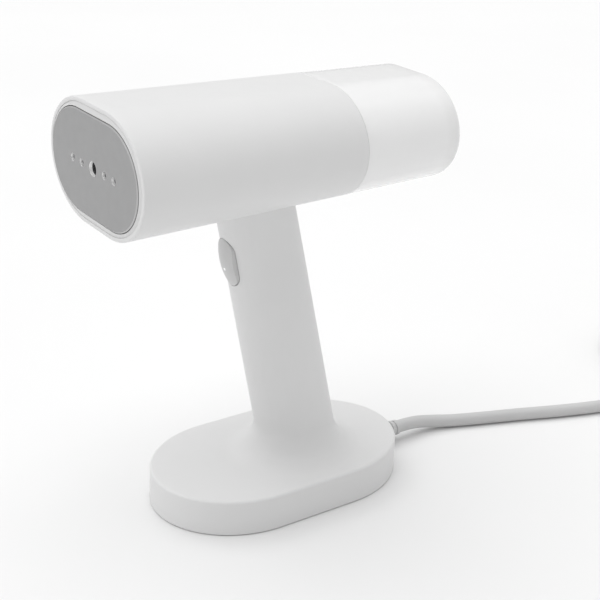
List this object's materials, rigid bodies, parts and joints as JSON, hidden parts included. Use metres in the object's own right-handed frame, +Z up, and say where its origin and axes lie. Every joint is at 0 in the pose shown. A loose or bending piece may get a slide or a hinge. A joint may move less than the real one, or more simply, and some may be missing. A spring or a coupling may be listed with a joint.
{
  "type": "garment steamer",
  "caption": "Handheld garment steamer on its own oval base: oval barrel with flat steam plate, push-fit rear water tank, leaning handle with a steam button, mains cord.",
  "frame": {"origin": "centre of the base's oval, in the plane it stands on", "axes": "+Z up; -Y is the way the steam plate faces; X runs across, from side to side"},
  "size_m": [0.1219, 0.512, 0.2221],
  "materials": {
    "white_shell": "fine satin texture",
    "bezel": "satin",
    "steam_plate": "matt ceramic coat with a bare bevelled edge",
    "button": "satin",
    "indicator": "clear light pipe",
    "tank": "glossy, milky and translucent",
    "inner_plastic": "moulded, satin",
    "silicone": "soft, matt",
    "seal_rubber": "soft, matt",
    "cast_alloy": "die cast",
    "spring_steel": "bright",
    "plated_steel": "zinc plated",
    "element_sheath": "heat-tinted",
    "brass_fitting": "machined",
    "coil_tape": "wrapped tape",
    "board": "solder mask",
    "black_case": "moulded",
    "ballast_iron": "raw casting",
    "cord_grey": "satin sheath",
    "pin_nickel": "nickel plated"
  },
  "bodies": {
    "housing": {"barrel_shell": "white_shell", "handle_shell": "white_shell", "front_bezel": "bezel", "steam_plate": "steam_plate", "plate_gasket": "silicone", "heater_block": "cast_alloy", "heating_element": "element_sheath", "element_terminals": "plated_steel", "boiler_cover": "cast_alloy", "boiler_inlet": "brass_fitting", "cover_spacers": "inner_plastic", "heater_carrier": "inner_plastic", "thermostat": "black_case", "thermal_fuse": "brass_fitting", "pump_tube": "inner_plastic", "pump_inlet_cap": "inner_plastic", "pump_coil": "coil_tape", "pump_yoke": "plated_steel", "pump_spring": "spring_steel", "outlet_hose": "silicone", "inlet_hose": "silicone", "chassis_tray": "inner_plastic", "tray_screws": "plated_steel", "neck_spigot": "inner_plastic", "tank_dock": "inner_plastic", "dock_seal": "seal_rubber", "base_cover": "white_shell", "base_ballast": "ballast_iron", "anti_slip_pad": "silicone", "base_screws": "plated_steel", "micro_switch": "black_case", "button_springs": "spring_steel", "control_board": "board", "board_frame": "inner_plastic", "power_relay": "black_case", "strain_relief": "cord_grey", "cord_clamp": "inner_plastic", "terminal_block": "inner_plastic", "inner_lead": "cord_grey", "wire_harness": "black_case", "power_cord": "cord_grey", "cord_coil": "cord_grey", "cord_tail": "cord_grey", "plug_body": "cord_grey", "plug_pins": "pin_nickel"},
    "button": {"steam_button": "button", "indicator_lens": "indicator"},
    "switch_plunger": {"switch_plunger": "button"},
    "tank": {"tank_shell": "tank", "tank_front": "tank", "cap_hinge_pin": "plated_steel", "valve_body": "inner_plastic", "valve_cage": "inner_plastic", "valve_spring": "spring_steel"},
    "valve": {"valve_plunger": "seal_rubber"},
    "fill_cap": {"fill_cap": "silicone"},
    "pump_plunger": {"pump_plunger": "plated_steel"}
  },
  "joints": [
    {"name": "button_press", "type": "slide", "parent": "housing", "child": "button", "axis": [0, 0.9784, 0.2068], "range_m": [0, 0.0015], "stiffness_N_per_m": 900, "springref_m": -0.0025, "deforming": ["button_springs"]},
    {"name": "switch_press", "type": "slide", "parent": "housing", "child": "switch_plunger", "axis": [0, 0.9784, 0.2068], "range_m": [0, 0.0015]},
    {"name": "tank_slide", "type": "slide", "parent": "housing", "child": "tank", "axis": [0, 1, 0], "range_m": [0, 0.07]},
    {"name": "valve_close", "type": "slide", "parent": "tank", "child": "valve", "axis": [0, -1, 0], "range_m": [0, 0.0024], "deforming": ["valve_spring"]},
    {"name": "cap_hinge", "type": "hinge", "parent": "tank", "child": "fill_cap", "pos_m": [0, 0.0585, 0.1681], "axis": [1, 0, 0], "range_deg": [0, 95]},
    {"name": "pump_stroke", "type": "slide", "parent": "housing", "child": "pump_plunger", "axis": [0, -1, 0], "range_m": [0, 0.002], "stiffness_N_per_m": 300, "springref_m": -0.002, "deforming": ["pump_spring"]}
  ],
  "couplings": [
    {"joint": "switch_press", "follows": "button_press", "ratio": 1},
    {"joint": "valve_close", "follows": "tank_slide", "ratio": 0.034}
  ]
}
